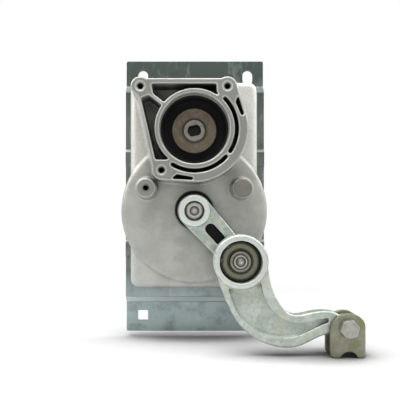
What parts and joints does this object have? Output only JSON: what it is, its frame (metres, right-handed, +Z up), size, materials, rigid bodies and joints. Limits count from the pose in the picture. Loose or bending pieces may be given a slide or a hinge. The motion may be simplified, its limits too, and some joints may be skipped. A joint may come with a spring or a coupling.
{
  "type": "door opener drive",
  "caption": "Door opener gearbox on a folded mounting plate, with a motor seat, a crank, a curved link and a bolted fork that moves the door or step.",
  "frame": {"origin": "on the output shaft's axis, in the plane that the mounting plate's flanges are bolted to", "axes": "+Z up, +X to the right as the front is seen, front faces -Y, and the output shaft lies along Y"},
  "size_m": [0.1918, 0.0827, 0.2456],
  "materials": {
    "zinc_plate": "zinc plated and passivated sheet",
    "die_cast": "sand-blasted die casting",
    "cover_alloy": "satin",
    "gasket_paper": "matt",
    "fastener_zinc": "zinc plated",
    "dark_steel": "dull",
    "black_rubber": "matt",
    "brown_fibre": "hard fibre",
    "bearing_bronze": "sintered",
    "sintered_steel": "satin",
    "gear_steel": "machined, oiled",
    "turned_steel": "turned",
    "zinc_forging": "forged and zinc plated",
    "greased_steel": "oily",
    "olive_steel": "olive passivated",
    "bolt_zinc": "zinc plated"
  },
  "bodies": {
    "gearbox": {"mounting_plate": "zinc_plate", "rear_cover": "cover_alloy", "cover_gasket": "gasket_paper", "gear_housing": "die_cast", "motor_seat": "die_cast", "stop_bosses": "die_cast", "input_boss": "die_cast", "plate_screws": "fastener_zinc", "cover_screws": "fastener_zinc", "stop_pin": "dark_steel", "motor_seal": "black_rubber", "fibre_washer": "brown_fibre", "input_bush": "bearing_bronze", "intermediate_bush_front": "bearing_bronze", "intermediate_bush_rear": "bearing_bronze", "drive_axle": "gear_steel", "output_bush_front": "bearing_bronze", "output_bush_rear": "bearing_bronze", "output_seal": "black_rubber"},
    "crank": {"output_gear": "gear_steel", "output_key": "gear_steel", "output_shaft": "turned_steel", "crank_arm": "zinc_forging", "crank_pad": "black_rubber", "pivot_pin": "turned_steel", "pivot_spacer": "gear_steel", "pivot_keeper": "greased_steel"},
    "link": {"link_arm": "zinc_forging", "pivot_bearing": "bearing_bronze", "dust_ring": "black_rubber", "eye_bush": "bearing_bronze"},
    "fork": {"fork": "olive_steel", "fork_bolt": "bolt_zinc", "fork_nut": "bolt_zinc"},
    "drive": {"drive_pinion": "gear_steel", "second_gear": "gear_steel"},
    "intermediate": {"intermediate_pinion": "gear_steel", "intermediate_gear": "gear_steel"},
    "input": {"input_coupling": "sintered_steel"}
  },
  "joints": [
    {"name": "crank_swing", "type": "hinge", "parent": "gearbox", "child": "crank", "pos_m": [0, 0, 0], "axis": [0, -1, 0], "range_deg": [-127, 43]},
    {"name": "link_swing", "type": "hinge", "parent": "crank", "child": "link", "pos_m": [0.03533, 0, -0.03924], "axis": [0, -1, 0], "range_deg": [-85, 65]},
    {"name": "fork_swing", "type": "hinge", "parent": "link", "child": "fork", "pos_m": [0.1162, 0, -0.0889], "axis": [0, -1, 0], "range_deg": [-60, 60]},
    {"name": "drive_spin", "type": "hinge", "parent": "gearbox", "child": "drive", "pos_m": [0, 0, 0.065], "axis": [0, -1, 0], "continuous": true},
    {"name": "intermediate_spin", "type": "hinge", "parent": "gearbox", "child": "intermediate", "pos_m": [0.025, 0, 0.0548], "axis": [0, -1, 0], "continuous": true},
    {"name": "input_spin", "type": "hinge", "parent": "gearbox", "child": "input", "pos_m": [0, 0, 0.065], "axis": [0, -1, 0], "continuous": true}
  ],
  "couplings": [
    {"joint": "drive_spin", "follows": "crank_swing", "ratio": -4},
    {"joint": "intermediate_spin", "follows": "crank_swing", "ratio": 8},
    {"joint": "input_spin", "follows": "crank_swing", "ratio": -28}
  ]
}
